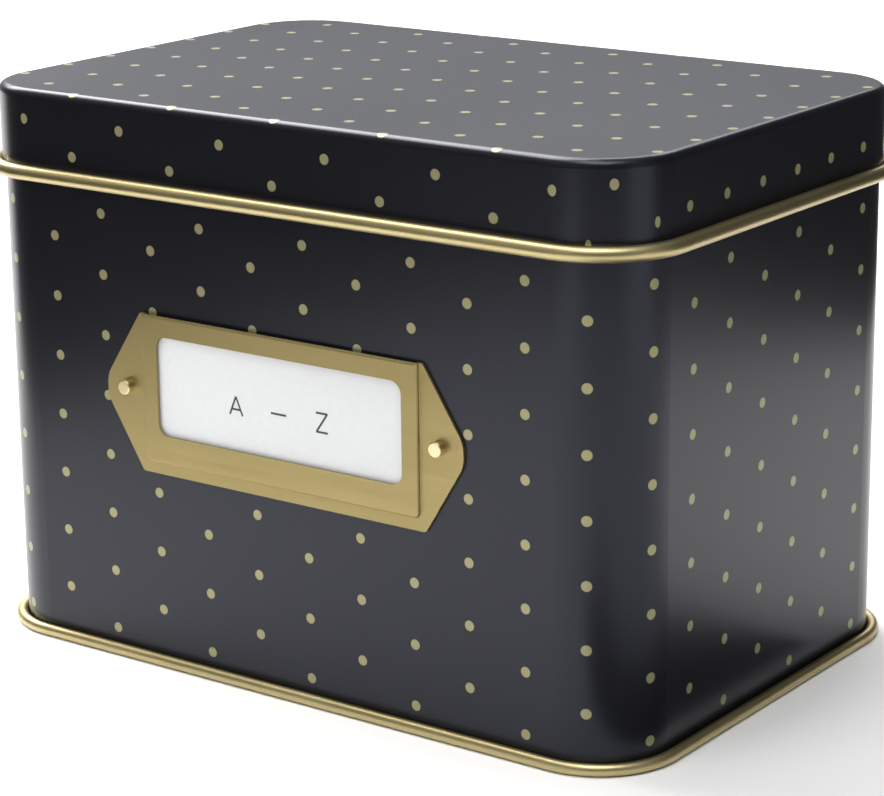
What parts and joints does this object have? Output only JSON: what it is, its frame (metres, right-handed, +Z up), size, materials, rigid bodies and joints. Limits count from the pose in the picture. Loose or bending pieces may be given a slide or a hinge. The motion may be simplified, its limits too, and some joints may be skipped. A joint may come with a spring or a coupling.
{
  "type": "card file tin",
  "caption": "Hinged-lid card file tin with rounded corners, a seamed recessed bottom, a rolled rim, a curled lid edge and a riveted label holder with a slide-in card.",
  "frame": {"origin": "middle of the footprint at the foot of the bottom seam", "axes": "+X to the right seen from the front, -Y is the front with the label holder, +Z up"},
  "size_m": [0.1732, 0.1182, 0.122],
  "materials": {
    "lacquered_tinplate": "satin",
    "gold_tinplate": "satin",
    "steel_wire": "satin",
    "brass_sheet": "satin",
    "card_stock": "matte",
    "brass_rivet": "polished"
  },
  "bodies": {
    "box": {"body_wall": "lacquered_tinplate", "bottom_plate": "gold_tinplate", "hinge_strap_left": "gold_tinplate", "hinge_strap_right": "gold_tinplate", "hinge_pin_left": "steel_wire", "hinge_pin_right": "steel_wire", "label_frame": "brass_sheet", "label_rivet_left": "brass_rivet", "label_rivet_right": "brass_rivet"},
    "lid": {"lid_shell": "lacquered_tinplate"},
    "card": {"label_card": "card_stock"}
  },
  "joints": [
    {"name": "lid_hinge", "type": "hinge", "parent": "box", "child": "lid", "pos_m": [0, 0.05755, 0.1044], "axis": [-1, 0, 0], "range_deg": [0, 105]},
    {"name": "label_card_slide", "type": "slide", "parent": "box", "child": "card", "axis": [0, 0, 1], "range_m": [0, 0.024]}
  ]
}
